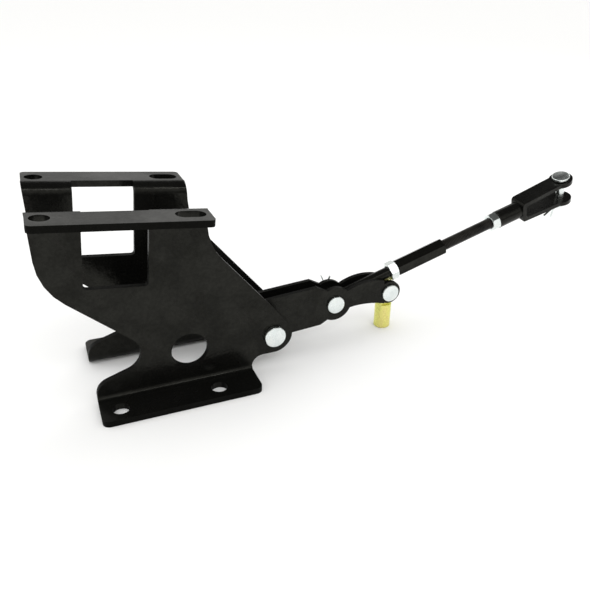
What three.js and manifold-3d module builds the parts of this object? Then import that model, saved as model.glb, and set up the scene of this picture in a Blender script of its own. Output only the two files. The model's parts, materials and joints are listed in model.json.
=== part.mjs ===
// Quick coupler: a bolt-on bracket of two bent side plates, a two-plate lever that swings on the
// bracket's pivot pin, a round barrel that hangs from the lever's tip, and an adjustable tie rod
// with a clevis.  Millimetres.  +X runs from the bracket to the clevis, +Z is up, and Y = 0 is the
// plane of symmetry, with the heads of the pins on the -Y side (the right-hand side).
// The origin is on the ground, under the middle of the whole object.

import * as THREE from 'three';
import { mergeVertices } from 'three/addons/utils/BufferGeometryUtils.js';
import Module from 'manifold-3d';

const wasm = await Module();
wasm.setup();

// ---------------------------------------------------------------- driving dimensions

const gap = 0.3;                      // clearance between pieces that touch
const quarter = Math.PI / 2;
const degrees = Math.PI / 180;

// Bracket.  X = 0 is the middle of the base bolt holes while the bracket is being drawn.
const bracketWidth = 102;             // over the outer faces of the side plates
const plate = 7.94;                   // side plate thickness, 5/16 in
const bendRadius = 6;                 // inside radius of the bends
const boltHoleRadius = 10.3;          // clears 3/4 in bolts
const baseFlangeReach = 97.5;         // Y of the base flange's outer edge
const baseFlangeEnds = [-84, 112];
const baseFlangeCorner = 9;
const baseHoleX = 60.3;
const baseHoleY = 76.8;
const topFlangeReach = 95.5;
const topFlangeEnds = [-126.5, 63];
const topFlangeCorner = 6;
const topTilt = 5.7 * degrees;        // the top flanges slope down towards +X
const topMiddle = { x: -36, z: 245.3 };
const topHoleX = 76.2;                // hole and slot either side of topMiddle
const topHoleY = 72.9;
const topSlotLength = 34;
const windowHalfWidth = 35.75;
const windowDepth = 92.7;             // from the top of the flange down to the window's sill
const windowCorner = 4;
const lighteningHole = { x: 32.4, z: 53.5, radius: 23 };
const slantAngle = -50.6 * degrees;   // front edge, from the top flange down to the pivot's ear
const slantBlend = 70;                // radius where the slant leaves the top flange
const earBlend = 15;                  // radius between the ear and the base flange
const rearSweep = { z: 164.7, radius: 74 };
const rearHollow = { x: -2.8, z: 54.2, radius: 25 };
const footRise = { z: 27.4, radius: 20 };
const overlap = 20;                   // how far a blank runs past the edge that trims it
const sliver = 0.01;                  // keeps a trimming solid's face off the face beside it

// Pins.
const pivot = { x: 143, z: 50.5 };    // the lever's pivot pin in the bracket
const pivotPin = { radius: 9.525, headRadius: 14.29, headThickness: 6 };
const leverPin = { radius: 7.94, headRadius: 12.7, headThickness: 4 };
const clevisPin = { radius: 6.35, headRadius: 12.7, headThickness: 4.6 };
const earRadius = 25.4;
const washerThickness = 2;
const washerWidth = 2;                // outer over inner radius
const cotterWire = 0.8;               // radius of a cotter pin's wire
const cotterHoleRadius = 1.95;
const cotterEye = { inside: 2.9, offset: 4.6 };   // offset of its middle from the pin's surface
const cotterBend = 2.5;               // from the pin's surface to the bend in the legs
const cotterLegGap = 0.1;             // half the space between the straight legs
const pinChamfer = 0.8;
const pinEndLength = 4;               // from the cotter pin to the pin's end

// Lever, drawn along its own X axis from the pivot pin.
const leverAngle = 4.3 * degrees;
const leverPlate = 6.35;
const leverGap = 17.5;                // between the two lever plates
const linkReach = 104.7;              // pivot pin to tie rod pin
const tipReach = 86.2;                // tie rod pin to barrel pin
const tipBend = -2.6 * degrees;       // the tip's direction from the lever's axis
const leverTop = 32.5;
const leverBottom = -27;
const leverShoulder = { top: 79, bottom: 81 };
const linkLobe = 25;
const tipLobe = 17;
const leverNeck = { back: 11, top: 23, bottom: -21 };   // back is from the tie rod pin
const armBack = { x: 51.4, z: -56.2, radius: 78.2 };     // arcs of the arm, from the tie rod pin
const armBelly = { x: 30.9, z: -135.5, radius: 124.6 };
const spacerRadius = 15;

// Barrel.
const barrelRadius = 11.9;
const tangThickness = 16.5;
const shoulderDrop = 23;              // barrel pin down to the shoulder under the lever plates
const barrelChamfer = 1.2;

// Tie rod, drawn along its own X axis from the tie rod pin.
const rodAngle = 17.2 * degrees;      // above horizontal, where the rod rests on the tang
const rodRadius = 7.94;               // 5/8 in rod
const eyeRadius = 16;
const nutFlats = 23.8;
const nutThickness = 12.5;
const couplingFlats = 22.2;
const nutRolls = { inner: -40 * degrees, outer: -6 * degrees };
const coupling = { start: 106.8, end: 186 };
const hexRounding = 1.2;              // how deep a hex piece's corners are turned off
const threadInCoupling = 30;
const threadInNeck = 24;
const threadChamfer = 1;
const boreRunOut = 2;                 // how far a bore runs past the thread in it
const neck = { start: 282.3, radius: 12.9 };
const yokeStart = 320.5;
const clevisReach = 400;              // tie rod pin to clevis pin
const yokeWidth = 27;
const yokeHeight = 32;                // over the tines where they leave the neck
const tine = 6.35;
const yokeCorner = { outside: 5, inside: 3 };
const tineSpread = 2.6 * degrees;     // each tine leans out by this much
const yokeEyeRadius = 17;
const clevisRoll = 8 * degrees;       // the clevis is turned on the rod by this much

// ---------------------------------------------------------------- finishes

const finishes = {
  blackPaint: { color: 0x101112, roughness: 0.22, metalness: 0.1 },
  blackThread: { color: 0x1a1817, roughness: 0.4, metalness: 0.5 },
  brightZinc: { color: 0xc3c9cc, roughness: 0.28, metalness: 0.9 },
  yellowZinc: { color: 0xc9a94a, roughness: 0.32, metalness: 0.85 },
};

// ---------------------------------------------------------------- solids

function solid(geometry) {
  const bare = geometry.clone();
  bare.deleteAttribute('normal');
  bare.deleteAttribute('uv');
  const merged = mergeVertices(bare, 1e-4);
  const vertProperties = new Float32Array(merged.attributes.position.array);
  const triVerts = new Uint32Array(merged.index.array);
  return new wasm.Manifold(new wasm.Mesh({ numProp: 3, vertProperties, triVerts }));
}

function geometryOf(body) {
  const { vertProperties, triVerts } = body.getMesh();
  const geometry = new THREE.BufferGeometry();
  geometry.setAttribute('position', new THREE.BufferAttribute(new Float32Array(vertProperties), 3));
  geometry.setIndex(new THREE.BufferAttribute(new Uint32Array(triVerts), 1));
  geometry.computeVertexNormals();
  return geometry;
}

function cut(body, ...tools) {
  return tools.reduce((rest, tool) => rest.subtract(tool), body);
}

function join(body, ...others) {
  return others.reduce((sum, other) => sum.add(other), body);
}

// A cylinder between two places along the X, Y or Z axis, centred on `centre`.
function cylinder(axis, radius, from, to, centre = {}, segments = 32) {
  const geometry = new THREE.CylinderGeometry(radius, radius, to - from, segments);
  geometry.translate(0, (from + to) / 2, 0);
  if (axis === 'x') {
    geometry.rotateZ(-quarter);
  }
  if (axis === 'z') {
    geometry.rotateX(quarter);
  }
  geometry.translate(centre.x ?? 0, centre.y ?? 0, centre.z ?? 0);
  return solid(geometry);
}

// Turned solid about the X axis; the profile's points are [place along X, radius].
function turned(profile, segments = 32) {
  const points = profile.map(([along, radius]) => new THREE.Vector2(radius, along));
  const geometry = new THREE.LatheGeometry(points, segments);
  geometry.rotateZ(-quarter);
  return solid(geometry);
}

// Outline with rounded corners: each corner is [across, up, radius].
function outline(corners, stepsPerQuarter = 8) {
  const points = [];
  corners.forEach(([across, up, radius = 0], index) => {
    const corner = new THREE.Vector2(across, up);
    if (radius === 0) {
      points.push(corner);
      return;
    }
    const last = corners[(index + corners.length - 1) % corners.length];
    const next = corners[(index + 1) % corners.length];
    const back = new THREE.Vector2(last[0], last[1]).sub(corner).normalize();
    const ahead = new THREE.Vector2(next[0], next[1]).sub(corner).normalize();
    const half = Math.acos(back.dot(ahead)) / 2;
    const middle = back.clone().add(ahead).normalize();
    const centre = corner.clone().addScaledVector(middle, radius / Math.sin(half));
    const first = corner.clone().addScaledVector(back, radius / Math.tan(half)).sub(centre);
    const turn = Math.sign(back.cross(ahead)) * (2 * half - Math.PI);
    const steps = Math.max(2, Math.round(stepsPerQuarter * Math.abs(turn) / quarter));
    for (let step = 0; step <= steps; step += 1) {
      const spoke = first.clone().rotateAround(new THREE.Vector2(), turn * step / steps);
      points.push(spoke.add(centre));
    }
  });
  return new THREE.Shape(points);
}

const extruded = (depth) => ({ depth, bevelEnabled: false });

// A shape drawn in X and Z, given a thickness from one Y to another.
function slabY(shape, from, to) {
  const geometry = new THREE.ExtrudeGeometry(shape, extruded(to - from));
  geometry.rotateX(quarter);
  geometry.translate(0, to, 0);
  return solid(geometry);
}

// A shape drawn in X and Y, given a thickness from one Z to another.
function slabZ(shape, from, to) {
  const geometry = new THREE.ExtrudeGeometry(shape, extruded(to - from));
  geometry.translate(0, 0, from);
  return solid(geometry);
}

// A shape drawn in Y and Z, given a length from one X to another.
function slabX(shape, from, to) {
  const geometry = new THREE.ExtrudeGeometry(shape, extruded(to - from));
  const axes = new THREE.Matrix4().makeBasis(
    new THREE.Vector3(0, 1, 0),
    new THREE.Vector3(0, 0, 1),
    new THREE.Vector3(1, 0, 0),
  );
  geometry.applyMatrix4(axes);
  geometry.translate(from, 0, 0);
  return solid(geometry);
}

// Moves a solid: a turn about the Y axis, then a shift in X and Z.
function placed(body, turn, shift) {
  const geometry = geometryOf(body);
  geometry.rotateY(-turn);
  geometry.translate(shift.x, 0, shift.z);
  return solid(geometry);
}

function part(name, body, finish) {
  const material = new THREE.MeshStandardMaterial(finishes[finish]);
  const geometry = body.isBufferGeometry ? body : geometryOf(body);
  const mesh = new THREE.Mesh(geometry, material);
  mesh.name = name;
  return mesh;
}

// ---------------------------------------------------------------- bracket

const webLength = 50;                 // of each angle-shaped blank
const trim = 1;                       // a trimming solid runs past the face that it keeps by this
const outside = bracketWidth / 2;
const inside = outside - plate;

// Web, bend and outward flange as one section.  `side` is +1 for the left plate and -1 for the
// right one; `up` is +1 where the flange is at the bottom and -1 where it is at the top.
function angleSection(side, up, reach) {
  const bendY = outside + bendRadius;
  const bendZ = plate + bendRadius;
  const steps = 6;
  const points = [[inside, webLength]];
  for (let step = 0; step <= steps; step += 1) {
    const angle = Math.PI + quarter * step / steps;
    const radius = bendRadius + plate;
    points.push([bendY + radius * Math.cos(angle), bendZ + radius * Math.sin(angle)]);
  }
  points.push([reach, 0], [reach, plate]);
  for (let step = steps; step >= 0; step -= 1) {
    const angle = Math.PI + quarter * step / steps;
    points.push([bendY + bendRadius * Math.cos(angle), bendZ + bendRadius * Math.sin(angle)]);
  }
  points.push([outside, webLength]);
  return new THREE.Shape(points.map(([y, z]) => new THREE.Vector2(side * y, up * z)));
}

// Plan of one flange, square towards the web and rounded at its two outer corners.
function flangePlan(side, ends, reach, corner) {
  return outline([
    [ends[0], 0],
    [ends[1], 0],
    [ends[1], side * reach, corner],
    [ends[0], side * reach, corner],
  ]);
}

// The side plate's cut edge, seen from the side.
function sidePlateOutline() {
  const ear = { right: pivot.x + earRadius, bottom: pivot.z - earRadius };
  const tangent = {
    x: pivot.x - earRadius * Math.sin(slantAngle),
    z: pivot.z + earRadius * Math.cos(slantAngle),
  };
  const slantAt = (x) => tangent.z + (x - tangent.x) * Math.tan(slantAngle);
  const below = -overlap;
  const above = topMiddle.z + 2 * overlap;
  return outline([
    [baseFlangeEnds[0], below],
    [baseFlangeEnds[1], below],
    [baseFlangeEnds[1], ear.bottom, earBlend],
    [ear.right, ear.bottom, earRadius],
    [ear.right, slantAt(ear.right), earRadius],
    [topFlangeEnds[1], slantAt(topFlangeEnds[1]), slantBlend],
    [topFlangeEnds[1], above],
    [topFlangeEnds[0], above],
    [topFlangeEnds[0], rearSweep.z, rearSweep.radius],
    [rearHollow.x, rearHollow.z, rearHollow.radius],
    [baseFlangeEnds[0], footRise.z, footRise.radius],
  ]);
}

// Everything of the side plate that belongs to its sloping top: drawn level, with its top face at
// Z = 0 and X = 0 midway between hole and slot.
function topFlange(side) {
  const ends = topFlangeEnds.map((x) => x - topMiddle.x);
  const long = [ends[0] - overlap, ends[1] + overlap];
  const angle = slabX(angleSection(side, -1, topFlangeReach), long[0], long[1]);
  const plan = slabZ(flangePlan(side, ends, topFlangeReach, topFlangeCorner), -plate - sliver, trim);
  const web = slabY(outline([
    [long[0], -webLength - trim],
    [long[1], -webLength - trim],
    [long[1], trim],
    [long[0], trim],
  ]), ...ordered(side * (inside - trim), side * (outside + bendRadius)));
  const hole = cylinder('z', boltHoleRadius, -overlap, overlap, { x: -topHoleX, y: side * topHoleY });
  const slotHalf = topSlotLength / 2 - boltHoleRadius;
  const slotEnds = [topHoleX - slotHalf, topHoleX + slotHalf];
  const slotSides = [topHoleY - boltHoleRadius, topHoleY + boltHoleRadius].map((y) => side * y);
  const slot = join(
    slabZ(outline([
      [slotEnds[0], slotSides[0]],
      [slotEnds[1], slotSides[0]],
      [slotEnds[1], slotSides[1]],
      [slotEnds[0], slotSides[1]],
    ]), -overlap, overlap),
    ...slotEnds.map(
      (x) => cylinder('z', boltHoleRadius, -overlap, overlap, { x, y: side * topHoleY }),
    ),
  );
  return cut(angle.intersect(join(plan, web)), hole, slot);
}

function baseFlange(side) {
  const long = [baseFlangeEnds[0] - overlap, pivot.x + earRadius + overlap];
  const angle = slabX(angleSection(side, 1, baseFlangeReach), long[0], long[1]);
  const basePlan = flangePlan(side, baseFlangeEnds, baseFlangeReach, baseFlangeCorner);
  const plan = slabZ(basePlan, -trim, plate + sliver);
  const web = slabY(outline([
    [long[0], -trim],
    [long[1], -trim],
    [long[1], webLength + trim],
    [long[0], webLength + trim],
  ]), ...ordered(side * (inside - trim), side * (outside + bendRadius)));
  const holes = [-baseHoleX, baseHoleX].map(
    (x) => cylinder('z', boltHoleRadius, -overlap, overlap, { x, y: side * baseHoleY }),
  );
  return cut(angle.intersect(join(plan, web)), ...holes);
}

function ordered(first, second) {
  return [Math.min(first, second), Math.max(first, second)];
}

function sidePlate(side) {
  const toLevel = (x) => topMiddle.z - (x - topMiddle.x) * Math.tan(topTilt) - plate - bendRadius;
  const left = topFlangeEnds[0] - overlap;
  const right = pivot.x + earRadius + overlap;
  const webFace = outline([
    [left, plate + bendRadius],
    [right, plate + bendRadius],
    [right, toLevel(right)],
    [left, toLevel(left)],
  ]);
  const web = slabY(webFace, ...ordered(side * inside, side * outside));
  const top = placed(topFlange(side), -topTilt, topMiddle);
  const edge = slabY(sidePlateOutline(), -baseFlangeReach - trim, baseFlangeReach + trim);
  const window = placed(slabY(outline([
    [-windowHalfWidth, -windowDepth, windowCorner],
    [windowHalfWidth, -windowDepth, windowCorner],
    [windowHalfWidth, overlap],
    [-windowHalfWidth, overlap],
  ]), ...ordered(side * (inside - trim), side * (outside + bendRadius))), -topTilt, topMiddle);
  const lightening = cylinder('y', lighteningHole.radius, -bracketWidth, bracketWidth, lighteningHole, 48);
  const pinHole = cylinder('y', pivotPin.radius + gap, -bracketWidth, bracketWidth, pivot);
  return cut(join(web, top, baseFlange(side)).intersect(edge), window, lightening, pinHole);
}

// ---------------------------------------------------------------- pins, washers and cotter pins

// A headed pin along +Y: its head starts at `from`, under the head the shank runs to `to`, and a
// hole for the cotter pin crosses it at `cotterAt`, along Z.
function headedPin(size, from, to, cotterAt) {
  const profile = [
    [from - size.headThickness, 0],
    [from - size.headThickness, size.headRadius - pinChamfer],
    [from - size.headThickness + pinChamfer, size.headRadius],
    [from, size.headRadius],
    [from, size.radius],
    [to - pinChamfer, size.radius],
    [to, size.radius - pinChamfer],
    [to, 0],
  ];
  const geometry = geometryOf(turned(profile));
  geometry.rotateZ(quarter);
  const hole = cylinder('z', cotterHoleRadius, -overlap, overlap, { y: cotterAt }, 16);
  return cut(solid(geometry), hole);
}

// A flat washer on the Y axis.
function washer(boreRadius, outerRadius, from, to) {
  return cut(cylinder('y', outerRadius, from, to), cylinder('y', boreRadius + gap, from - trim, to + trim));
}

// A tube spacer on the Y axis.
function spacer(from, to) {
  return washer(pivotPin.radius, spacerRadius, from, to);
}

// A cotter pin through a pin of the given radius: its eye is below, its legs point to +Z and are
// bent in the X-Z plane by the two angles (from +Z, positive towards +X).
function cotterPin(pinRadius, legLength, angles) {
  const apart = cotterWire + cotterLegGap;
  const bend = pinRadius + cotterBend;
  const legs = angles.map((angle, index) => {
    const across = index === 0 ? -apart : apart;
    const bent = (share) => new THREE.Vector3(
      across + Math.sin(angle) * (legLength - bend) * share,
      0,
      bend + Math.cos(angle) * (legLength - bend) * share,
    );
    const straight = [-pinRadius - trim, 0, pinRadius].map((z) => new THREE.Vector3(across, 0, z));
    const bentPart = [0.05, 0.5, 1].map(bent);
    return [...straight, ...bentPart];
  });
  const eyeCentre = -pinRadius - cotterEye.offset;
  const eye = [-120, -90, -45, 0, 45, 90, 120].map((bearing) => new THREE.Vector3(
    cotterEye.inside * Math.sin(bearing * degrees),
    0,
    eyeCentre - cotterEye.inside * Math.cos(bearing * degrees),
  ));
  const points = [...legs[0].reverse(), ...eye, ...legs[1]];
  const route = new THREE.CatmullRomCurve3(points, false, 'centripetal');
  const sides = 6;
  const section = new THREE.Shape(Array.from({ length: sides }, (_, index) => {
    const angle = 2 * Math.PI * index / sides;
    return new THREE.Vector2(cotterWire * Math.cos(angle), cotterWire * Math.sin(angle));
  }));
  const settings = { steps: 40, extrudePath: route, bevelEnabled: false };
  return solid(new THREE.ExtrudeGeometry(section, settings));
}

// ---------------------------------------------------------------- lever

const tip = {
  x: linkReach + tipReach * Math.cos(tipBend),
  z: tipReach * Math.sin(tipBend),
};

// One lever plate: a straight body with cut corners, a round lobe for the tie rod pin, and an
// arched arm that ends in a smaller lobe for the barrel pin.
function leverSide(from, to) {
  const half = (leverTop - leverBottom) / 2;
  const endRound = half - 0.1;          // just short of a full half circle
  const neckX = linkReach - leverNeck.back;
  const body = slabY(outline([
    [-half, leverBottom, endRound],
    [leverShoulder.bottom, leverBottom],
    [neckX, leverNeck.bottom],
    [neckX, leverNeck.top],
    [leverShoulder.top, leverTop],
    [-half, leverTop, endRound],
  ]), from, to);
  const lobes = [
    cylinder('y', linkLobe, from, to, { x: linkReach }, 48),
    cylinder('y', tipLobe, from, to, tip, 40),
  ];
  const arc = ({ x, z, radius }, start, end, segments) => (
    cylinder('y', radius, start, end, { x: linkReach + x, z }, segments)
  );
  const back = arc(armBack, from, to, 120);
  const belly = arc(armBelly, from - trim, to + trim, 150);
  const armEnd = tip.x - tipLobe / 2;
  const reach = slabY(outline([
    [linkReach, -armBack.radius],
    [armEnd, -armBack.radius],
    [armEnd, armBack.radius],
    [linkReach, armBack.radius],
  ]), from - trim, to + trim);
  const arm = cut(back.intersect(reach), belly);
  const holes = [
    cylinder('y', pivotPin.radius + gap, from - trim, to + trim),
    cylinder('y', leverPin.radius + gap, from - trim, to + trim, { x: linkReach }),
    cylinder('y', leverPin.radius + gap, from - trim, to + trim, tip),
  ];
  return cut(join(body, ...lobes, arm), ...holes);
}

// Turns a place on the lever into a place on the bracket, with the lever at rest.
function onBracket(point) {
  return {
    x: pivot.x + point.x * Math.cos(leverAngle) - point.z * Math.sin(leverAngle),
    z: pivot.z + point.x * Math.sin(leverAngle) + point.z * Math.cos(leverAngle),
  };
}

const linkPlace = onBracket({ x: linkReach, z: 0 });
const tipPlace = onBracket(tip);

// The barrel hangs from its pin and stands on the ground: a round bar whose upper end is milled
// to a flat tang between the lever plates, rounded so that the tie rod can rest on it.
function barrel() {
  const length = tipPlace.z;
  const rodHeight = Math.abs(
    (tipPlace.x - linkPlace.x) * Math.sin(rodAngle) - (tipPlace.z - linkPlace.z) * Math.cos(rodAngle),
  );
  const tangRadius = rodHeight - rodRadius - gap;
  const bar = placed(turned([
    [-length, 0],
    [-length, barrelRadius - barrelChamfer],
    [-length + barrelChamfer, barrelRadius],
    [tangRadius + trim, barrelRadius],
    [tangRadius + trim, 0],
  ]), quarter, { x: 0, z: 0 });
  const wide = 2 * barrelRadius;
  const lower = slabY(outline([
    [-wide, -length - trim],
    [wide, -length - trim],
    [wide, -shoulderDrop],
    [-wide, -shoulderDrop],
  ]), -wide, wide);
  const flats = slabY(outline([
    [-wide, -shoulderDrop - trim],
    [wide, -shoulderDrop - trim],
    [wide, 0],
    [-wide, 0],
  ]), -tangThickness / 2, tangThickness / 2);
  const crown = cylinder('y', tangRadius, -tangThickness / 2, tangThickness / 2, {}, 40);
  const bore = cylinder('y', leverPin.radius + gap, -wide, wide);
  return cut(bar.intersect(join(lower, flats, crown)), bore);
}

// ---------------------------------------------------------------- tie rod

function rodEye() {
  const halfWidth = leverGap / 2 - gap;
  const end = coupling.start + threadInCoupling - boreRunOut;
  const shank = turned([
    [0, 0],
    [0, rodRadius],
    [end - threadChamfer, rodRadius],
    [end, rodRadius - threadChamfer],
    [end, 0],
  ]);
  const eye = cylinder('y', eyeRadius, -halfWidth, halfWidth);
  return cut(join(shank, eye), cylinder('y', leverPin.radius + gap, -overlap, overlap));
}

// A six-sided piece on the X axis with chamfered ends and a round bore; an edge points up, turned
// by `roll` about the axis.
function hexPiece(flats, from, to, roll) {
  const corner = flats / Math.sqrt(3);
  const chamfer = (corner - flats / 2) * Math.tan(30 * degrees) * hexRounding;
  const endFace = flats / 2 - 0.2;
  const clearOfCorner = corner + 0.1;
  const blank = new THREE.CylinderGeometry(corner, corner, to - from, 6);
  blank.rotateZ(-quarter);
  blank.rotateX(roll);
  blank.translate((from + to) / 2, 0, 0);
  const rounding = turned([
    [from, 0],
    [from, endFace],
    [from + chamfer, clearOfCorner],
    [to - chamfer, clearOfCorner],
    [to, endFace],
    [to, 0],
  ], 24);
  const bore = cylinder('x', rodRadius + gap, from - trim, to + trim);
  return cut(solid(blank).intersect(rounding), bore);
}

// A nut locked against the piece that starts at `against`.
function jamNut(against, roll) {
  const face = against - gap;
  return hexPiece(nutFlats, face - nutThickness, face, roll);
}

function threadedRod() {
  const start = coupling.end - threadInCoupling;
  const end = neck.start + threadInNeck;
  return turned([
    [start, 0],
    [start, rodRadius - threadChamfer],
    [start + threadChamfer, rodRadius],
    [end - threadChamfer, rodRadius],
    [end, rodRadius - threadChamfer],
    [end, 0],
  ]);
}

const yokeEnd = clevisReach + yokeEyeRadius + 1;
const tineRise = (x) => (x - yokeStart) * Math.tan(tineSpread);
const tineOutside = yokeHeight / 2 + tineRise(clevisReach + clevisPin.headRadius);

// The clevis: a round neck that screws onto the rod, and a square-shouldered fork whose two flat
// tines end in round eyes for the clevis pin.
function clevis() {
  const half = yokeHeight / 2;
  const clear = 2 * overlap;
  const shoulder = yokeStart + tine;
  const fork = slabY(outline([
    [yokeStart, -half, yokeCorner.outside],
    [yokeEnd, -half - tineRise(yokeEnd)],
    [yokeEnd, -half - tineRise(yokeEnd) + tine],
    [shoulder, -half - tineRise(shoulder) + tine, yokeCorner.inside],
    [shoulder, half + tineRise(shoulder) - tine, yokeCorner.inside],
    [yokeEnd, half + tineRise(yokeEnd) - tine],
    [yokeEnd, half + tineRise(yokeEnd)],
    [yokeStart, half, yokeCorner.outside],
  ]), -overlap, overlap);
  const strap = slabZ(outline([
    [yokeStart - trim, -yokeWidth / 2],
    [clevisReach, -yokeWidth / 2],
    [clevisReach, yokeWidth / 2],
    [yokeStart - trim, yokeWidth / 2],
  ]), -clear, clear);
  const eyes = cylinder('z', yokeEyeRadius, -clear, clear, { x: clevisReach }, 40);
  const stem = turned([
    [neck.start, 0],
    [neck.start, neck.radius - threadChamfer],
    [neck.start + threadChamfer, neck.radius],
    [yokeStart + boreRunOut, neck.radius],
    [yokeStart + boreRunOut, 0],
  ]);
  const boreEnd = neck.start + threadInNeck + boreRunOut;
  const bore = cylinder('x', rodRadius + gap, neck.start - trim, boreEnd);
  const pinHole = cylinder('z', clevisPin.radius + gap, -clear, clear, { x: clevisReach });
  return cut(join(fork.intersect(join(strap, eyes)), stem), bore, pinHole);
}

// ---------------------------------------------------------------- assembly

// A group at a place on the bracket, turned so that its X axis rises by `rise`.
function frameAt(place, rise) {
  const group = new THREE.Group();
  group.position.set(place.x, 0, place.z);
  group.rotation.y = -rise;
  return group;
}

// Headed pin, washer and cotter pin on the Y axis of a group.  The pin's head bears at -reach and
// the washer at +reach; `legs` says how the cotter pin is turned about the Y axis and bent.
function pinSet(names, size, reach, legs) {
  const washerStart = reach + gap;
  const washerEnd = washerStart + washerThickness;
  const cotterAt = washerEnd + legs.standOff;
  const pinEnd = cotterAt + pinEndLength;
  const group = new THREE.Group();
  const disc = washer(size.radius, size.radius * washerWidth, washerStart, washerEnd);
  group.add(part(names.pin, headedPin(size, -reach - gap, pinEnd, cotterAt), 'brightZinc'));
  group.add(part(names.washer, disc, 'brightZinc'));
  const cotter = part(names.cotter, cotterPin(size.radius, legs.length, legs.angles), 'brightZinc');
  cotter.rotation.z = legs.twist;
  cotter.position.y = cotterAt;
  group.add(cotter);
  group.rotation.y = legs.turn;
  return group;
}

// Cotter pins.  `spread` is where the two legs are bent to, in degrees; `turn` is about the pin;
// `standOff` is from the washer to the middle of the wire.
function cotter(length, spread, turn, twist = 0, standOff = 2) {
  return { length, angles: spread.map((angle) => angle * degrees), turn, twist, standOff };
}

const cotterLegs = {
  pivot: cotter(36, [-32, 32], -70 * degrees),
  link: cotter(31, [-22, 23], 0),
  tip: cotter(29, [-16, 16], -95 * degrees),
  clevis: cotter(30, [24, 72], -quarter, quarter, 4.4),
};

function bracket() {
  const group = new THREE.Group();
  group.add(part('side_plate_right', sidePlate(-1), 'blackPaint'));
  group.add(part('side_plate_left', sidePlate(1), 'blackPaint'));
  const onPivot = frameAt(pivot, 0);
  const leverOutside = leverGap / 2 + leverPlate;
  onPivot.add(part('spacer_right', spacer(-inside + gap, -leverOutside - gap), 'brightZinc'));
  onPivot.add(part('spacer_left', spacer(leverOutside + gap, inside - gap), 'brightZinc'));
  const names = { pin: 'pivot_pin', washer: 'pivot_washer', cotter: 'pivot_cotter' };
  onPivot.add(pinSet(names, pivotPin, outside, cotterLegs.pivot));
  group.add(onPivot);
  return group;
}

function lever() {
  const group = frameAt(pivot, leverAngle);
  const inner = leverGap / 2;
  const outer = inner + leverPlate;
  group.add(part('lever_plate_right', leverSide(-outer, -inner), 'blackPaint'));
  group.add(part('lever_plate_left', leverSide(inner, outer), 'blackPaint'));
  group.add(part('lever_hub', spacer(-inner + gap, inner - gap), 'brightZinc'));
  return group;
}

function leverPins() {
  const reach = leverGap / 2 + leverPlate;
  const group = new THREE.Group();
  const onLink = frameAt(linkPlace, 0);
  const linkNames = { pin: 'rod_pin', washer: 'rod_pin_washer', cotter: 'rod_pin_cotter' };
  onLink.add(pinSet(linkNames, leverPin, reach, cotterLegs.link));
  const onTip = frameAt(tipPlace, 0);
  const tipNames = { pin: 'barrel_pin', washer: 'barrel_pin_washer', cotter: 'barrel_pin_cotter' };
  onTip.add(pinSet(tipNames, leverPin, reach, cotterLegs.tip));
  group.add(onLink, onTip);
  return group;
}

function hangingBarrel() {
  const group = frameAt(tipPlace, 0);
  group.add(part('barrel', barrel(), 'yellowZinc'));
  return group;
}

function tieRod() {
  const group = frameAt(linkPlace, rodAngle);
  group.add(part('rod_eye', rodEye(), 'blackPaint'));
  group.add(part('jam_nut_inner', jamNut(coupling.start, nutRolls.inner), 'brightZinc'));
  group.add(part('coupling', hexPiece(couplingFlats, coupling.start, coupling.end, 0), 'blackPaint'));
  group.add(part('threaded_rod', threadedRod(), 'blackThread'));
  group.add(part('jam_nut_outer', jamNut(neck.start, nutRolls.outer), 'brightZinc'));
  const rolled = new THREE.Group();
  rolled.rotation.x = clevisRoll;
  rolled.add(part('clevis', clevis(), 'blackPaint'));
  const onEnd = new THREE.Group();
  onEnd.position.x = clevisReach;
  onEnd.rotation.x = -quarter;
  const names = { pin: 'clevis_pin', washer: 'clevis_washer', cotter: 'clevis_cotter' };
  onEnd.add(pinSet(names, clevisPin, tineOutside, cotterLegs.clevis));
  rolled.add(onEnd);
  group.add(rolled);
  return group;
}

const assembly = new THREE.Group();
assembly.add(bracket(), lever(), leverPins(), hangingBarrel(), tieRod());

// Moves the origin from the base bolt holes to under the middle of the whole object.
assembly.updateMatrixWorld(true);
const extent = new THREE.Box3().setFromObject(assembly, true);
assembly.position.x = -(extent.min.x + extent.max.x) / 2;

export default assembly;
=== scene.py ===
"""Looks of the quick coupler: gloss black plates and rods, zinc plated pins and nuts, yellow barrel."""

import json
import math

import bmesh
import bpy
from mathutils import Matrix, Vector


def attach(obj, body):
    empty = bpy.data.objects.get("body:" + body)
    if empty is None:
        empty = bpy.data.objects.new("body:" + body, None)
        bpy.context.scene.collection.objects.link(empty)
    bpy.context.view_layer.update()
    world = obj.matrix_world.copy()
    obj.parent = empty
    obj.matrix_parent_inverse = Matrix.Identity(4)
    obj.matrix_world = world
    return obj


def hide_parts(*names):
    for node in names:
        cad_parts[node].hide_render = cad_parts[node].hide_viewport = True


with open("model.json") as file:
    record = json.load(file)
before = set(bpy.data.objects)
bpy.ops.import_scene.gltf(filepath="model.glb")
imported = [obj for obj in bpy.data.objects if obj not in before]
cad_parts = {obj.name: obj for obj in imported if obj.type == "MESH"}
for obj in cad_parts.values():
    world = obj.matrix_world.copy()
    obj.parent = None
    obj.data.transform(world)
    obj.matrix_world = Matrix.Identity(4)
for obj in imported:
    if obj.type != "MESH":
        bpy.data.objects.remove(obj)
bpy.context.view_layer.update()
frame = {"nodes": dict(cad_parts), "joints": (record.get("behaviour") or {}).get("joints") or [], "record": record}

mm = 0.001
nodes = frame["nodes"]
record = frame["record"]
joints = {joint["name"]: joint for joint in frame["joints"]}
body_of = {node: body for body, names in record["behaviour"]["bodies"].items() for node in names}

# ---------------------------------------------------------------- sizes of the small hardware

rod_radius = 7.94 * mm                # 5/8 in
thread_pitch = 25.4 / 11 * mm         # 11 threads to the inch
thread_depth = 0.6134 * thread_pitch
nut_flats = 23.8 * mm
coupling_flats = 22.2 * mm
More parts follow.
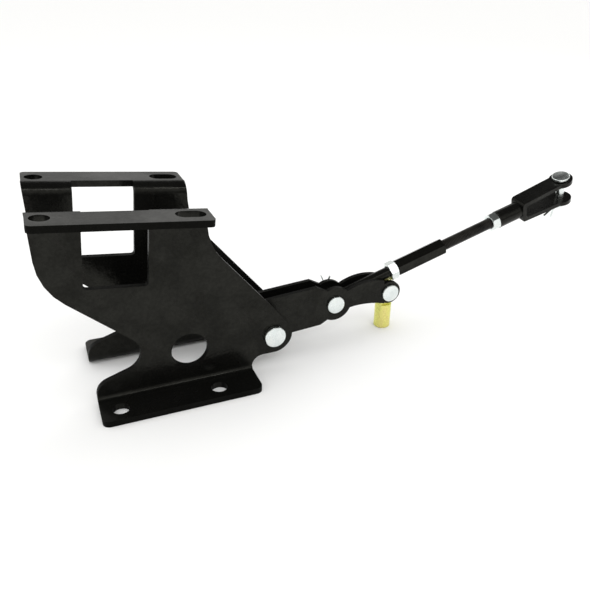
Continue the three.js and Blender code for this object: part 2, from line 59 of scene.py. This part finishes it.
# How far each nut is turned on the rod from having an edge at the top.
nut_rolls = {"jam_nut_inner": math.radians(-40), "jam_nut_outer": math.radians(-6)}
clevis_roll = math.radians(8)
pin_radius = {
    "pivot_pin": 9.525 * mm,
    "rod_pin": 7.94 * mm,
    "barrel_pin": 7.94 * mm,
    "clevis_pin": 6.35 * mm,
}
head_thickness = {
    "pivot_pin": 6 * mm,
    "rod_pin": 4 * mm,
    "barrel_pin": 4 * mm,
    "clevis_pin": 4.6 * mm,
}
clearance = 0.3 * mm
cotter_radius = 1.7 * mm              # of the two half-round legs together
cotter_hole = 1.95 * mm               # its radius
cotter_leg_gap = 0.06 * cotter_radius  # half the space between the straight legs
cotter_bend = 2.4 * mm                # from the pin's surface to the bend in the legs
cotter_eye = {"inside": 2.2 * mm, "offset": 4.8 * mm}   # offset of its middle from the surface
shorter_leg = 0.86                    # of the other leg's length
sharp_edge = 35                       # degrees; flatter edges are shaded smooth
web_reach = 52 * mm                   # beyond this the side plates are bent outwards
flange_reach = 92.5 * mm              # beyond this only the flanges' outer edges are left
edge_round = {"plate": 0.9 * mm, "lever": 0.7 * mm, "forged": 1.6 * mm, "small": 0.5 * mm}


# ---------------------------------------------------------------- places

def axis_place(origin, direction, across):
    """A place whose Z axis runs along `direction` and whose X axis points towards `across`."""
    along = Vector(direction).normalized()
    side = Vector(across) - along * along.dot(Vector(across))
    side.normalize()
    place = Matrix((side, along.cross(side), along)).transposed().to_4x4()
    place.translation = Vector(origin)
    return place


def points_at(node, place):
    inverse = place.inverted()
    return [inverse @ vertex.co for vertex in nodes[node].data.vertices]


def reach_along(node, place):
    """The lowest and highest height of a CAD node along the place's Z axis."""
    heights = [point.z for point in points_at(node, place)]
    return min(heights), max(heights)


def outer_radius(node, place):
    return max(point.xy.length for point in points_at(node, place))


left = Vector((0, 1, 0))
forward = Vector((1, 0, 0))
pivot_place = axis_place(joints["lever_pivot"]["pos_m"], left, forward)
link_place = axis_place(joints["tie_rod_pivot"]["pos_m"], left, forward)
tip_place = axis_place(joints["barrel_pivot"]["pos_m"], left, forward)
rod_place = axis_place(joints["coupling_turn"]["pos_m"], joints["coupling_turn"]["axis"], left)


def clevis_pin_place():
    """The clevis pin crosses the rod's axis at right angles, rolled a little about it."""
    near, far = reach_along("clevis_pin", rod_place)
    rod_axis = rod_place.col[2].xyz
    upright = rod_axis.cross(left)
    upright.rotate(Matrix.Rotation(clevis_roll, 3, rod_axis))
    return axis_place(rod_place.translation + rod_axis * (near + far) / 2, -upright, rod_axis)


clevis_place = clevis_pin_place()


# ---------------------------------------------------------------- mesh tools

def around(radius, angle, height):
    """A point from its distance to the Z axis, its angle about it and its height."""
    return Vector((radius * math.cos(angle), radius * math.sin(angle), height))


def bridge(mesh, lower, upper):
    """Faces between two rings, either of which may be a single point."""
    count = max(len(lower), len(upper))
    for step in range(count):
        after = (step + 1) % count
        corners = [
            lower[step % len(lower)],
            lower[after % len(lower)],
            upper[after % len(upper)],
            upper[step % len(upper)],
        ]
        distinct = list(dict.fromkeys(corners))
        if len(distinct) > 2:
            mesh.faces.new(distinct)


def new_object(name, mesh, sharp_angle=sharp_edge):
    """An object from a bmesh, smooth except along its sharp edges."""
    bmesh.ops.recalc_face_normals(mesh, faces=mesh.faces)
    data = bpy.data.meshes.new(name)
    mesh.to_mesh(data)
    mesh.free()
    data.shade_smooth()
    data.set_sharp_from_angle(angle=math.radians(sharp_angle))
    piece = bpy.data.objects.new(name, data)
    bpy.context.scene.collection.objects.link(piece)
    return piece


def rounded(corners, steps=4):
    """Points of an open profile.  A corner is (radius, height) or (radius, height, fillet)."""
    points = []
    for index, corner in enumerate(corners):
        here = Vector(corner[:2])
        if len(corner) == 2:
            points.append(here)
            continue
        back = (Vector(corners[index - 1][:2]) - here).normalized()
        ahead = (Vector(corners[(index + 1) % len(corners)][:2]) - here).normalized()
        half = back.angle(ahead) / 2
        run = corner[2] / math.tan(half)
        centre = here + (back + ahead).normalized() * corner[2] / math.sin(half)
        first = here + back * run - centre
        last = here + ahead * run - centre
        for step in range(steps + 1):
            spoke = first.lerp(last, step / steps).normalized() * corner[2]
            points.append(centre + spoke)
    return points


def lathe(name, profile, place, closed=False, steps=96):
    """A turned piece about the place's Z axis."""
    mesh = bmesh.new()
    rings = []
    for radius, height in profile:
        if radius < 1e-7:
            rings.append([mesh.verts.new(place @ Vector((0, 0, height)))])
            continue
        ring = []
        for step in range(steps):
            angle = math.tau * step / steps
            ring.append(mesh.verts.new(place @ around(radius, angle, height)))
        rings.append(ring)
    followers = rings[1:] + (rings[:1] if closed else [])
    for lower, upper in zip(rings, followers):
        bridge(mesh, lower, upper)
    return new_object(name, mesh)


def drill(piece, place, radius, half_length):
    """Cuts a round hole through a piece along the place's Z axis."""
    ends = (-half_length, half_length)
    profile = [(0, ends[0]), (radius, ends[0]), (radius, ends[1]), (0, ends[1])]
    cutter = lathe("cutter", profile, place, steps=48)
    hole = piece.modifiers.new("hole", "BOOLEAN")
    hole.object = cutter
    hole.operation = "DIFFERENCE"
    hole.solver = "EXACT"
    bpy.context.view_layer.update()
    finished = bpy.data.meshes.new_from_object(piece.evaluated_get(bpy.context.evaluated_depsgraph_get()))
    piece.modifiers.clear()
    piece.data = finished
    bpy.data.objects.remove(cutter)
    finished.shade_smooth()
    finished.set_sharp_from_angle(angle=math.radians(sharp_edge))


def bevel(piece, width, segments=3, angle=30):
    edges = piece.modifiers.new("edges", "BEVEL")
    edges.width = width
    edges.segments = segments
    edges.limit_method = "ANGLE"
    edges.angle_limit = math.radians(angle)
    edges.harden_normals = True
    edges.use_clamp_overlap = True
    edges.miter_outer = "MITER_ARC"


def take_over(piece, node, material):
    """The piece is shown in place of a CAD node and moves with the same body."""
    piece.data.materials.clear()
    piece.data.materials.append(material)
    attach(piece, body_of[node])
    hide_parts(node)


def finish_cad(node, material, width):
    """A CAD node keeps its shape and gets rounded edges, smooth curves and its material."""
    piece = nodes[node]
    custom = piece.data.attributes.get("custom_normal")
    if custom:
        piece.data.attributes.remove(custom)
    weld = piece.modifiers.new("weld", "WELD")
    weld.merge_threshold = 1e-6
    flat = piece.modifiers.new("flat faces", "DECIMATE")
    flat.decimate_type = "DISSOLVE"
    flat.angle_limit = math.radians(0.5)
    piece.data.shade_smooth()
    bevel(piece, width)
    piece.data.materials.clear()
    piece.data.materials.append(material)


# ---------------------------------------------------------------- materials

class Shader:
    """A material's node tree, with short calls for the nodes used here."""

    def __init__(self, name):
        self.material = bpy.data.materials.new(name)
        self.material.use_nodes = True
        self.tree = self.material.node_tree
        self.surface = self.tree.nodes["Principled BSDF"]
        coordinates = self.add("ShaderNodeTexCoord")
        self.place = coordinates.outputs["Object"]
        self.normal = coordinates.outputs["Normal"]

    def add(self, kind, **settings):
        node = self.tree.nodes.new(kind)
        for key, value in settings.items():
            setattr(node, key, value)
        return node

    def link(self, source, target):
        self.tree.links.new(source, target)

    def noise(self, scale, detail=3, roughness=0.5, stretch=(1, 1, 1)):
        mapping = self.add("ShaderNodeMapping")
        mapping.inputs["Scale"].default_value = stretch
        self.link(self.place, mapping.inputs["Vector"])
        node = self.add("ShaderNodeTexNoise")
        node.inputs["Scale"].default_value = scale
        node.inputs["Detail"].default_value = detail
        node.inputs["Roughness"].default_value = roughness
        self.link(mapping.outputs["Vector"], node.inputs["Vector"])
        return node.outputs["Fac"]

    def ramp(self, source, start, end, low=0, high=1, interpolation="LINEAR"):
        """`low` at `start`, `high` at `end`, and no further; `end` may be the smaller of the two."""
        node = self.add("ShaderNodeMapRange", interpolation_type=interpolation)
        for key, value in (("From Min", start), ("From Max", end), ("To Min", low), ("To Max", high)):
            node.inputs[key].default_value = value
        self.link(source, node.inputs["Value"])
        return node.outputs["Result"]

    def spread(self, source, low, high, start=0.35, end=0.65):
        """Maps a noise from its usual range to low..high."""
        return self.ramp(source, start, end, low, high, interpolation="SMOOTHSTEP")

    def split(self, vector):
        """The X, Y and Z of a vector."""
        node = self.add("ShaderNodeSeparateXYZ")
        self.link(vector, node.inputs[0])
        return node.outputs

    def maths(self, operation, *values):
        """A number worked out from links and fixed values."""
        node = self.add("ShaderNodeMath", operation=operation)
        for socket, value in zip(node.inputs, values):
            self.give(socket, value)
        return node.outputs["Value"]

    def colours(self, source, stops):
        """A colour ramp; stops are (place, (r, g, b))."""
        node = self.add("ShaderNodeValToRGB")
        ramp = node.color_ramp
        while len(ramp.elements) < len(stops):
            ramp.elements.new(0.5)
        for element, (position, colour) in zip(ramp.elements, stops):
            element.position = position
            element.color = (*colour, 1)
        self.link(source, node.inputs["Fac"])
        return node.outputs["Color"]

    def bump(self, source, distance, below=None):
        node = self.add("ShaderNodeBump")
        node.inputs["Strength"].default_value = 1.0
        node.inputs["Distance"].default_value = distance
        self.link(source, node.inputs["Height"])
        if below:
            self.link(below, node.inputs["Normal"])
        return node.outputs["Normal"]

    def give(self, socket, value):
        """Gives a socket a link or a fixed value."""
        if hasattr(value, "links"):
            self.link(value, socket)
        else:
            socket.default_value = value

    def set(self, name, value):
        """Gives the surface's socket of that name a link or a fixed value."""
        self.give(self.surface.inputs[name], value)


def cut_edges(shader):
    """1 on the cut edges of a plate, 0 on its rolled faces and on its bends."""
    facing = shader.split(shader.normal)
    along = shader.maths("ABSOLUTE", facing["X"])
    across = shader.maths("ABSOLUTE", facing["Y"])
    reach = shader.maths("ABSOLUTE", shader.split(shader.place)["Y"])
    ends = shader.ramp(along, 0.4, 0.6)
    on_web = shader.ramp(reach, web_reach, 0.99 * web_reach)
    web_edge = shader.maths("MULTIPLY", shader.ramp(across, 0.45, 0.25), on_web)
    on_rim = shader.ramp(reach, flange_reach, 1.01 * flange_reach)
    flange_edge = shader.maths("MULTIPLY", shader.ramp(across, 0.5, 0.7), on_rim)
    return shader.maths("MAXIMUM", ends, shader.maths("MAXIMUM", web_edge, flange_edge))


def black_paint(name="black_paint", on_plate=False):
    """Gloss powder coat: orange peel, faint dust, and soft changes of gloss and sheen.  On a plate
    the cut edges are duller, and rough under the paint."""
    shader = Shader(name)
    cloud = shader.noise(14, detail=4)
    dust = shader.noise(900, detail=2, roughness=0.6)
    shader.set("Base Color", shader.colours(dust, [
        (0.0, (0.0030, 0.0030, 0.0027)),
        (0.60, (0.0038, 0.0038, 0.0034)),
        (0.74, (0.0120, 0.0118, 0.0110)),
    ]))
    gloss = shader.spread(cloud, 0.10, 0.30)
    shader.set("IOR", 1.28)
    shader.set("Specular Tint", (1.0, 0.995, 0.88, 1))
    patches = shader.noise(26, detail=6, roughness=0.65)
    speckle = shader.noise(240, detail=4, roughness=0.7)
    haze = shader.maths(
        "MULTIPLY",
        shader.spread(patches, 0.40, 0.58, start=0.38, end=0.62),
        shader.spread(speckle, 0.86, 1.12, start=0.36, end=0.64),
    )
    wave = shader.bump(shader.noise(55, detail=2), 0.45 * mm)
    peel = shader.bump(shader.noise(330, detail=1.5), 0.11 * mm, below=wave)
    fine = shader.bump(dust, 0.006 * mm, below=peel)
    if not on_plate:
        shader.set("Roughness", gloss)
        shader.set("Specular IOR Level", haze)
        shader.set("Normal", fine)
        return shader.material
    edge = cut_edges(shader)
    shader.set("Roughness", shader.maths("ADD", gloss, shader.maths("MULTIPLY", edge, 0.22)))
    dulled = shader.ramp(edge, 0, 1, low=1.0, high=0.2)
    shader.set("Specular IOR Level", shader.maths("MULTIPLY", haze, dulled))
    scale = shader.noise(650, detail=4, roughness=0.7)
    pitted = shader.maths("MULTIPLY", scale, edge)
    shader.set("Normal", shader.bump(pitted, 0.22 * mm, below=fine))
    return shader.material


def black_thread():
    """Oiled black thread, a little brown and less glossy than the paint."""
    shader = Shader("black_thread")
    cloud = shader.noise(60, detail=4)
    shader.set("Base Color", shader.colours(cloud, [
        (0.3, (0.007, 0.0066, 0.0056)),
        (0.7, (0.020, 0.018, 0.015)),
    ]))
    shader.set("Metallic", 0.15)
    shader.set("Roughness", shader.spread(cloud, 0.28, 0.42))
    shader.set("Normal", shader.bump(shader.noise(1500, detail=2), 0.01 * mm))
    return shader.material


def radius_from(shader, place):
    """The distance of a shaded point from the place's Z axis, in metres."""
    shifted = shader.add("ShaderNodeVectorMath", operation="SUBTRACT")
    shader.link(shader.place, shifted.inputs[0])
    shifted.inputs[1].default_value = place.translation
    crossed = shader.add("ShaderNodeVectorMath", operation="CROSS_PRODUCT")
    shader.link(shifted.outputs["Vector"], crossed.inputs[0])
    crossed.inputs[1].default_value = place.col[2].xyz
    length = shader.add("ShaderNodeVectorMath", operation="LENGTH")
    shader.link(crossed.outputs["Vector"], length.inputs[0])
    return length.outputs["Value"]


def turned_rings(shader, place, scale, depth):
    """Fine rings about the place's Z axis, as a lathe leaves them."""
    rings = shader.add("ShaderNodeTexNoise", noise_dimensions="1D")
    rings.inputs["Scale"].default_value = scale
    rings.inputs["Detail"].default_value = 2
    shader.link(radius_from(shader, place), rings.inputs["W"])
    return shader.bump(rings.outputs["Fac"], depth)


def bright_zinc(name, place):
    """Blue-white zinc plating with a greenish cast, and fine rings where it was turned."""
    shader = Shader(name)
    cloud = shader.noise(90, detail=5, roughness=0.6)
    shader.set("Base Color", shader.colours(cloud, [
        (0.3, (0.70, 0.745, 0.735)),
        (0.5, (0.79, 0.835, 0.825)),
        (0.7, (0.85, 0.88, 0.86)),
    ]))
    shader.set("Metallic", 1.0)
    speckle = shader.noise(1400, detail=3, roughness=0.65)
    shader.set("Roughness", shader.spread(cloud, 0.19, 0.31))
    turned = turned_rings(shader, place, 2600, 0.008 * mm)
    shader.set("Normal", shader.bump(speckle, 0.012 * mm, below=turned))
    return shader.material


def yellow_zinc(place):
    """Yellow chromate over zinc: pale gold that drifts to green and pink."""
    shader = Shader("yellow_zinc")
    drift = shader.noise(45, detail=3, roughness=0.55, stretch=(1, 1, 0.45))
    shader.set("Base Color", shader.colours(drift, [
        (0.32, (0.64, 0.70, 0.19)),
        (0.46, (0.75, 0.745, 0.21)),
        (0.58, (0.80, 0.755, 0.235)),
        (0.70, (0.78, 0.68, 0.25)),
    ]))
    shader.set("Metallic", 1.0)
    shader.set("Roughness", shader.spread(shader.noise(160, detail=4), 0.22, 0.34))
    shader.set("Normal", turned_rings(shader, place, 2200, 0.01 * mm))
    return shader.material


# ---------------------------------------------------------------- hardware

def headed_pin(node, place):
    """Head with rounded rim, plain shank and chamfered end."""
    low, high = reach_along(node, place)
    head = outer_radius(node, place)
    shank = pin_radius[node]
    under = low + head_thickness[node]
    rim = 1.3 * mm
    chamfer = 1.2 * mm
    profile = rounded([
        (0, low),
        (head, low, rim),
        (head, under, 0.5 * mm),
        (shank, under, 0.3 * mm),
        (shank, high - chamfer),
        (shank - chamfer, high),
        (0, high),
    ])
    return lathe(node + "_shape", profile, place)


def flat_washer(node, place):
    """A stamped washer: rounded on one side, sharper on the other."""
    low, high = reach_along(node, place)
    outer = outer_radius(node, place)
    bore = min(point.xy.length for point in points_at(node, place))
    profile = rounded([
        (bore, low, 0.2 * mm),
        (outer, low, 0.25 * mm),
        (outer, high, 0.7 * mm),
        (bore, high, 0.5 * mm),
    ])
    return lathe(node + "_shape", profile, place, closed=True)


def hex_piece(node, place, flats, roll, face_share=0.97, chamfer_angle=30, steps_per_flat=16):
    """A six-sided piece with its corners turned off at both ends and a countersunk bore."""
    low, high = reach_along(node, place)
    bore = rod_radius + clearance
    face = flats / 2 * face_share
    sink = 0.9 * mm
    edge_at_top = math.pi / 2
    slope = math.tan(math.radians(chamfer_angle))
    smooth_below = 18                     # degrees, so that the chamfers' edges stay sharp
    mesh = bmesh.new()

    def ring(radius_at, height_at):
        made = []
        for step in range(6 * steps_per_flat):
            angle = math.tau * step / (6 * steps_per_flat)
            radius = radius_at(angle)
            bearing = angle + roll + edge_at_top
            made.append(mesh.verts.new(place @ around(radius, bearing, height_at(radius))))
        return made

    def hexagon(angle):
        from_flat = (angle % (math.pi / 3)) - math.pi / 6
        return flats / 2 / math.cos(from_flat)

    rings = [
        ring(lambda angle: bore, lambda radius: low + sink),
        ring(lambda angle: bore + sink, lambda radius: low),
        ring(lambda angle: face, lambda radius: low),
        ring(hexagon, lambda radius: low + (radius - face) * slope),
        ring(hexagon, lambda radius: high - (radius - face) * slope),
        ring(lambda angle: face, lambda radius: high),
        ring(lambda angle: bore + sink, lambda radius: high),
        ring(lambda angle: bore, lambda radius: high - sink),
    ]
    for lower, upper in zip(rings, rings[1:] + rings[:1]):
        bridge(mesh, lower, upper)
    piece = new_object(node + "_shape", mesh, sharp_angle=smooth_below)
    bevel(piece, 0.35 * mm, segments=2, angle=smooth_below)
    return piece


def threaded_rod():
    """Rod with a true rolled thread: rows of points that follow the helix."""
    low, high = reach_along("threaded_rod", rod_place)
    root = rod_radius - thread_depth
    # Crest and root, each flat for an eighth of the pitch: (share of the pitch, radius).
    form = [(0.0, rod_radius), (0.125, rod_radius), (0.5, root), (0.625, root)]
    steps = 48
    spare_turns = 1.5                     # beyond each end, to be cut off
    turns = math.ceil((high - low) / thread_pitch) + round(2 * spare_turns)
    mesh = bmesh.new()
    rows = []
    for turn in range(turns):
        for share, radius in form:
            row = []
            for step in range(steps):
                angle = math.tau * step / steps
                height = low + thread_pitch * (turn - spare_turns + share + step / steps)
                row.append(mesh.verts.new(rod_place @ around(radius, angle, height)))
            rows.append(row)
    for index, (row, after) in enumerate(zip(rows, rows[1:])):
        for step in range(steps - 1):
            mesh.faces.new((row[step], row[step + 1], after[step + 1], after[step]))
        onward = index + len(form)        # the row that this one runs into after a whole turn
        if onward + 1 < len(rows):
            mesh.faces.new((row[-1], rows[onward][0], rows[onward + 1][0], after[-1]))
    axis = rod_place.col[2].xyz
    for height, direction in ((low, -axis), (high, axis)):
        everything = list(mesh.verts) + list(mesh.edges) + list(mesh.faces)
        end = rod_place.translation + axis * height
        bmesh.ops.bisect_plane(mesh, geom=everything, plane_co=end, plane_no=direction, clear_outer=True)
        rim = [edge for edge in mesh.edges if edge.is_boundary and all(
            abs((rod_place.inverted() @ vertex.co).z - height) < 1e-6 for vertex in edge.verts)]
        bmesh.ops.edgeloop_fill(mesh, edges=rim)
    return new_object("threaded_rod_shape", mesh, sharp_angle=40)


def smooth_route(points, steps=10):
    """Catmull-Rom points through a flat list of points."""
    route = []
    ends = [points[0] * 2 - points[1]] + points + [points[-1] * 2 - points[-2]]
    for first, second, third, fourth in zip(ends, ends[1:], ends[2:], ends[3:]):
        for step in range(steps):
            share = step / steps
            route.append(0.5 * (
                2 * second + (third - first) * share
                + (2 * first - 5 * second + 4 * third - fourth) * share ** 2
                + (3 * second - first - 3 * third + fourth) * share ** 3
            ))
    route.append(points[-1].copy())
    return route


def cotter_pin(node, place, shank, leg_length, bends):
    """Half-round wire folded back on itself: a round eye on one side of the pin, two bent legs on
    the other.  `place` has its Z axis along the legs, and the wire is bent in its XZ plane."""
    turn_off = shank + cotter_bend
    eye_centre = -shank - cotter_eye["offset"]
    flat_normal = Vector((0, 1, 0))       # square to the plane the wire is bent in

    def leg(side, bend, reach):
        start = Vector((side * cotter_leg_gap, 0, turn_off))
        out = Vector((math.sin(bend), 0, math.cos(bend)))
        heights = (-shank - 0.6 * mm, 0, shank)
        straight = [Vector((side * cotter_leg_gap, 0, height)) for height in heights]
        return straight + [start + out * reach * share for share in (0.06, 0.3, 0.65, 1)]

    reach = leg_length - turn_off
    first = leg(-1, bends[0], reach)
    second = leg(1, bends[1], reach * shorter_leg)
    eye = []
    for bearing in (-135, -90, -45, 0, 45, 90, 135):
        angle = math.radians(bearing)
        radius = cotter_eye["inside"]
        eye.append(Vector((radius * math.sin(angle), 0, eye_centre - radius * math.cos(angle))))
    route = smooth_route(first[::-1] + eye + second)
    steps = 10
    mesh = bmesh.new()
    rings = []
    for index, spot in enumerate(route):
        heading = (route[min(index + 1, len(route) - 1)] - route[max(index - 1, 0)]).normalized()
        outward = flat_normal.cross(heading)
        ring = []
        for step in range(steps + 1):
            angle = math.pi * step / steps
            offset = flat_normal * math.cos(angle) - outward * math.sin(angle)
            ring.append(mesh.verts.new(place @ (spot + offset * cotter_radius)))
        rings.append(ring)
    for lower, upper in zip(rings, rings[1:]):
        bridge(mesh, lower, upper)
    mesh.faces.new(rings[0])
    mesh.faces.new(rings[-1][::-1])
    return new_object(node + "_shape", mesh, sharp_angle=50)


def pin_and_fittings(names, place, turn, legs, material, stand_off):
    """A headed pin with its washer and, `stand_off` beyond the washer, its cotter pin."""
    pin, washer, cotter = names
    crossing = place @ Matrix.Translation((0, 0, reach_along(washer, place)[1] + stand_off))
    legs_place = crossing @ turn
    body = headed_pin(pin, place)
    right_through = pin_radius[pin] * 1.5
    drill(body, legs_place, cotter_hole, right_through)
    take_over(body, pin, material)
    take_over(flat_washer(washer, place), washer, material)
    take_over(cotter_pin(cotter, legs_place, pin_radius[pin], **legs), cotter, material)


# ---------------------------------------------------------------- the object

paint = black_paint()
plate_paint = black_paint("black_paint_on_plate", on_plate=True)
zinc_pivot = bright_zinc("bright_zinc_pivot", pivot_place)
zinc_link = bright_zinc("bright_zinc_rod_pin", link_place)
zinc_tip = bright_zinc("bright_zinc_barrel_pin", tip_place)
zinc_rod = bright_zinc("bright_zinc_nuts", rod_place)
zinc_clevis = bright_zinc("bright_zinc_clevis_pin", clevis_place)

for side in ("right", "left"):
    finish_cad("side_plate_" + side, plate_paint, edge_round["plate"])
    finish_cad("spacer_" + side, zinc_pivot, edge_round["small"])
for side in ("right", "left"):
    finish_cad("lever_plate_" + side, plate_paint, edge_round["lever"])
finish_cad("lever_hub", zinc_pivot, edge_round["small"])


def legs_turn(angle):
    """From a pin's place, whose X axis is forward and Z axis left, to one whose Z axis runs along
    the legs: `angle` is measured from straight up towards +X."""
    upright = Matrix.Rotation(math.radians(90), 4, "X")
    return upright @ Matrix.Rotation(math.radians(angle), 4, "Y")


# From the clevis pin's place, whose X axis runs out along the rod, to one whose Z axis points
# back along it and whose X axis points away from the pin's head.
back_along_rod = Matrix.Rotation(math.radians(-90), 4, "Y")

# For each pin: its place, its cotter pin's turn, the legs' length and bends in degrees, its
# finish, and the distance from washer to cotter pin.
pins = {
    "pivot": (pivot_place, legs_turn(-70), 36 * mm, (-32, 32), zinc_pivot, 2 * mm),
    "rod_pin": (link_place, legs_turn(0), 31 * mm, (-22, 23), zinc_link, 2 * mm),
    "barrel_pin": (tip_place, legs_turn(-95), 29 * mm, (-16, 16), zinc_tip, 2 * mm),
    "clevis": (clevis_place, back_along_rod, 30 * mm, (24, 72), zinc_clevis, 4.4 * mm),
}
for name, (place, turn, leg_length, bends, finish, stand_off) in pins.items():
    pin = name if name.endswith("pin") else name + "_pin"
    names = (pin, name + "_washer", name + "_cotter")
    legs = {"leg_length": leg_length, "bends": tuple(math.radians(bend) for bend in bends)}
    pin_and_fittings(names, place, turn, legs, finish, stand_off)

finish_cad("barrel", yellow_zinc(tip_place), edge_round["small"])
finish_cad("rod_eye", paint, edge_round["small"])
finish_cad("clevis", paint, edge_round["forged"])
for nut, roll in nut_rolls.items():
    take_over(hex_piece(nut, rod_place, nut_flats, roll), nut, zinc_rod)
take_over(hex_piece("coupling", rod_place, coupling_flats, 0), "coupling", paint)
take_over(threaded_rod(), "threaded_rod", black_thread())


# ---------------------------------------------------------------- floor, light and camera

camera_place = (-0.3669, -0.7161, 0.4776)
camera_angles = (22.534, 27.410, 0.732)   # turned to the right, tilted down, rolled
camera_lens = 38.87
# The room's brightness: (sine of the angle above the horizon, brightness).
room_levels = [
    (0.0, 0.32),
    (0.16, 0.36),
    (0.30, 0.95),
    (0.54, 1.0),
    (0.64, 0.30),
    (0.72, 0.08),
    (1.0, 0.10),
]


def floor():
    """A plain pale floor, many times wider than the object."""
    half = 40
    mesh = bmesh.new()
    corners = [(-half, -half), (half, -half), (half, half), (-half, half)]
    mesh.faces.new([mesh.verts.new((x, y, 0)) for x, y in corners])
    piece = new_object("floor", mesh)
    shader = Shader("floor")
    shader.set("Base Color", (0.93, 0.93, 0.925, 1))
    shader.set("Roughness", 0.9)
    shader.set("Specular IOR Level", 0.1)
    piece.data.materials.append(shader.material)


def softbox(name, place, aim, size, power):
    """A rectangular light at a place, facing another."""
    light = bpy.data.lights.new(name, "AREA")
    light.shape = "RECTANGLE"
    light.size = size[0]
    light.size_y = size[1]
    light.energy = power
    holder = bpy.data.objects.new(name, light)
    holder.location = place
    holder.rotation_euler = (Vector(aim) - Vector(place)).to_track_quat("-Z", "Y").to_euler()
    bpy.context.scene.collection.objects.link(holder)


def overhead_sky():
    """Even, very soft light from above, which whitens the floor but isn't seen in the gloss."""
    light = bpy.data.lights.new("sky", "SUN")
    light.energy = 2.15
    light.angle = math.radians(110)
    holder = bpy.data.objects.new("sky", light)
    holder.visible_glossy = False
    bpy.context.scene.collection.objects.link(holder)


def studio_walls():
    """The room: a bright band part of the way up, dimmer at the horizon and overhead."""
    world = bpy.data.worlds.new("studio")
    bpy.context.scene.world = world
    world.use_nodes = True
    tree = world.node_tree
    background = tree.nodes["Background"]
    where = tree.nodes.new("ShaderNodeTexCoord")
    split = tree.nodes.new("ShaderNodeSeparateXYZ")
    ramp = tree.nodes.new("ShaderNodeValToRGB")
    while len(ramp.color_ramp.elements) < len(room_levels):
        ramp.color_ramp.elements.new(0.5)
    for element, (height, level) in zip(ramp.color_ramp.elements, room_levels):
        element.position = height
        element.color = (level, level * 0.995, level * 0.97, 1)
    tree.links.new(where.outputs["Generated"], split.inputs[0])
    tree.links.new(split.outputs["Z"], ramp.inputs["Fac"])
    tree.links.new(ramp.outputs["Color"], background.inputs["Color"])
    background.inputs["Strength"].default_value = 1.0


def camera():
    """The camera, at the photograph's viewing angle."""
    view = bpy.data.cameras.new("camera")
    view.sensor_width = 36
    view.lens = camera_lens
    view.clip_end = 200
    turn, tilt, roll = (math.radians(angle) for angle in camera_angles)
    ahead = Vector((math.sin(turn) * math.cos(tilt), math.cos(turn) * math.cos(tilt), -math.sin(tilt)))
    right = Vector((math.cos(turn), -math.sin(turn), 0))
    right.rotate(Matrix.Rotation(-roll, 3, ahead))
    holder = bpy.data.objects.new("camera", view)
    holder.matrix_world = Matrix((right, right.cross(ahead), -ahead)).transposed().to_4x4()
    holder.location = camera_place
    bpy.context.scene.collection.objects.link(holder)
    bpy.context.scene.camera = holder


floor()
studio_walls()
overhead_sky()
softbox("left", place=(-2.3, 0.7, 1.7), aim=(0, 0.3, 0), size=(0.9, 0.9), power=8)
softbox("right", place=(2.3, 0.9, 1.7), aim=(0, 0.3, 0), size=(0.9, 0.9), power=7)
softbox("front", place=(0.1, -2.3, 2.6), aim=(0.1, 0, 0.1), size=(1.8, 0.35), power=12)
camera()
bpy.context.scene.view_settings.view_transform = "Standard"
